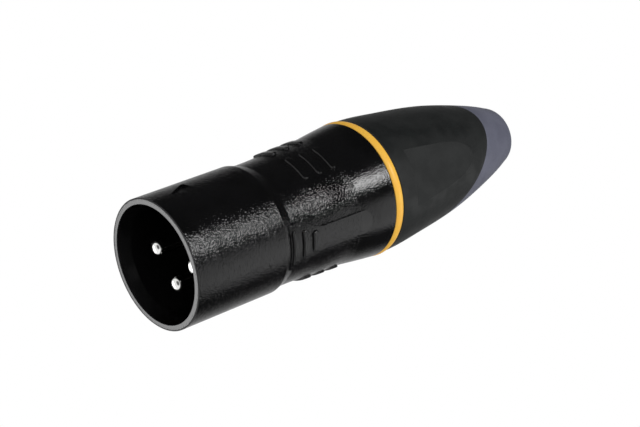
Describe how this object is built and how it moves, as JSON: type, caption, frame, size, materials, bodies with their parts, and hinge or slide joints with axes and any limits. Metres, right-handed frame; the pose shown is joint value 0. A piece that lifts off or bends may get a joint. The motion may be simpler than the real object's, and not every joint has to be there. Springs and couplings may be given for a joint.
{
  "type": "xlr plug",
  "caption": "Round male cable plug with a black metal shell, recessed contact pins, a coloured ring and a soft tapered boot that screws off to reach the cable clamp.",
  "frame": {"origin": "centre of the mating rim's face, on which the plug stands", "axes": "+Z along the plug's axis to the cable end, +Y to the side of the latch window and the key, +X to the side of contact 1"},
  "size_m": [0.0208, 0.0208, 0.0671],
  "materials": {
    "shell": "black satin coat with a fine grain on a die-cast housing",
    "insulator": "black moulded plastic",
    "contacts": "silver-plated, polished",
    "ground_contact": "tin-plated sheet",
    "chuck": "natural white moulded plastic",
    "bushing": "black moulded plastic",
    "boot_sleeve": "matt black soft plastic",
    "boot_tip": "matt bluish grey soft plastic",
    "coding_ring": "orange moulded plastic"
  },
  "bodies": {
    "shell": {"shell": "shell", "insulator": "insulator", "ground_contact": "ground_contact", "pin_1": "contacts", "pin_2": "contacts", "pin_3": "contacts"},
    "chuck": {"chuck": "chuck"},
    "boot": {"bushing": "bushing", "boot_sleeve": "boot_sleeve", "boot_tip": "boot_tip", "coding_ring": "coding_ring"}
  },
  "joints": [
    {"name": "chuck_travel", "type": "slide", "parent": "shell", "child": "chuck", "axis": [0, 0, 1], "range_m": [0, 0.006]},
    {"name": "boot_turn", "type": "hinge", "parent": "chuck", "child": "boot", "pos_m": [0, 0, 0.045], "axis": [0, 0, 1], "range_deg": [0, 1440]}
  ],
  "couplings": [
    {"joint": "chuck_travel", "follows": "boot_turn", "m_per_rad": 0.00023873}
  ]
}
